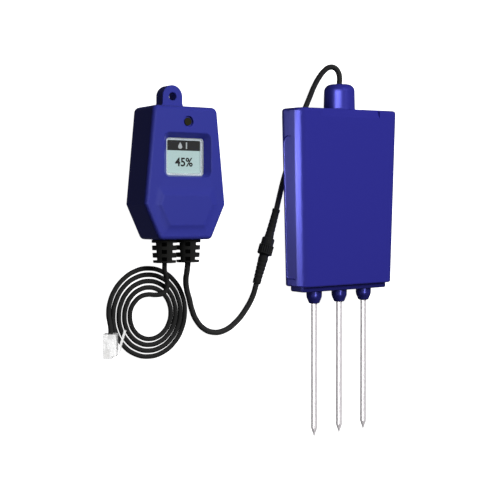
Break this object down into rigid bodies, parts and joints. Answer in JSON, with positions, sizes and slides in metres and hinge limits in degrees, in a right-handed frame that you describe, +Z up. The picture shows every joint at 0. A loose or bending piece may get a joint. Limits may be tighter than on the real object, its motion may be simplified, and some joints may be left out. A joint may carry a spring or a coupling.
{
  "type": "soil moisture sensor",
  "caption": "Soil moisture sensor: a display reader with a hanging tab, joined by a cord with an in-line connector to a flat probe with steel soil pins, and a coiled data cord.",
  "frame": {"origin": "centre of the reader's rear face, which lies on the table", "axes": "+X across the housings from the reader to the probe, +Y along the housings towards the hanging tab, +Z up out of the display"},
  "size_m": [0.1806, 0.2087, 0.0249],
  "materials": {
    "reader_blue": "satin moulded",
    "probe_blue": "satin moulded",
    "base_blue": "satin moulded",
    "seal_rubber": "matte",
    "window_clear": "clear",
    "frame_white": "satin",
    "display_glass": "gloss",
    "board_green": "solder mask",
    "component_black": "matte",
    "button_grey": "matte",
    "screw_steel": "plain",
    "relief_black": "matte moulded",
    "cord_black": "matte jacket",
    "data_cord_black": "matte jacket",
    "sleeve_black": "matte moulded",
    "connector_black": "moulded",
    "nut_black": "knurled",
    "contact_brass": "gold flash",
    "pin_steel": "polished",
    "potting_black": "cast resin",
    "plug_clear": "clear moulded"
  },
  "bodies": {
    "root": {"reader_front_cover": "reader_blue", "reader_rear_cover": "reader_blue", "reader_gasket": "seal_rubber", "display_window": "window_clear", "display_frame": "frame_white", "display_panel": "display_glass", "main_board": "board_green", "main_board_parts": "component_black", "tactile_switch": "component_black", "cover_screws": "screw_steel", "board_screws": "screw_steel", "data_strain_relief": "relief_black", "sensor_strain_relief": "relief_black", "sensor_cord_lower": "cord_black", "connector_lower_sleeve": "sleeve_black", "connector_plug": "connector_black", "connector_seal": "seal_rubber", "connector_contacts": "contact_brass", "connector_socket": "connector_black", "connector_upper_sleeve": "sleeve_black", "sensor_cord_upper": "cord_black", "probe_case": "probe_blue", "cable_gland": "probe_blue", "gland_nut": "connector_black", "gland_seal": "seal_rubber", "base_plate": "base_blue", "base_seal": "seal_rubber", "pin_collars": "base_blue", "pin_left": "pin_steel", "pin_centre": "pin_steel", "pin_right": "pin_steel", "pin_terminals": "contact_brass", "potting_block": "potting_black", "probe_board": "board_green", "probe_board_parts": "component_black", "data_cord_lead": "data_cord_black", "data_cord_coil": "data_cord_black", "data_cord_tail": "data_cord_black", "network_plug_body": "plug_clear", "network_plug_contacts": "contact_brass"},
    "button": {"button_cap": "button_grey"},
    "nut": {"coupling_nut": "nut_black"},
    "latch": {"network_plug_latch": "plug_clear"}
  },
  "joints": [
    {"name": "button_press", "type": "slide", "parent": "root", "child": "button", "axis": [0, 0, -1], "range_m": [0, 0.0005], "stiffness_N_per_m": 1500},
    {"name": "nut_turn", "type": "hinge", "parent": "root", "child": "nut", "pos_m": [0.054, -0.059, 0.0042], "axis": [0.309, 0.9511, 0], "continuous": true},
    {"name": "latch_press", "type": "hinge", "parent": "root", "child": "latch", "pos_m": [-0.03209, -0.0911, 0.008], "axis": [-0.5446, 0, 0.8387], "range_deg": [0, 12], "stiffness_Nm_per_rad": 0.02}
  ]
}
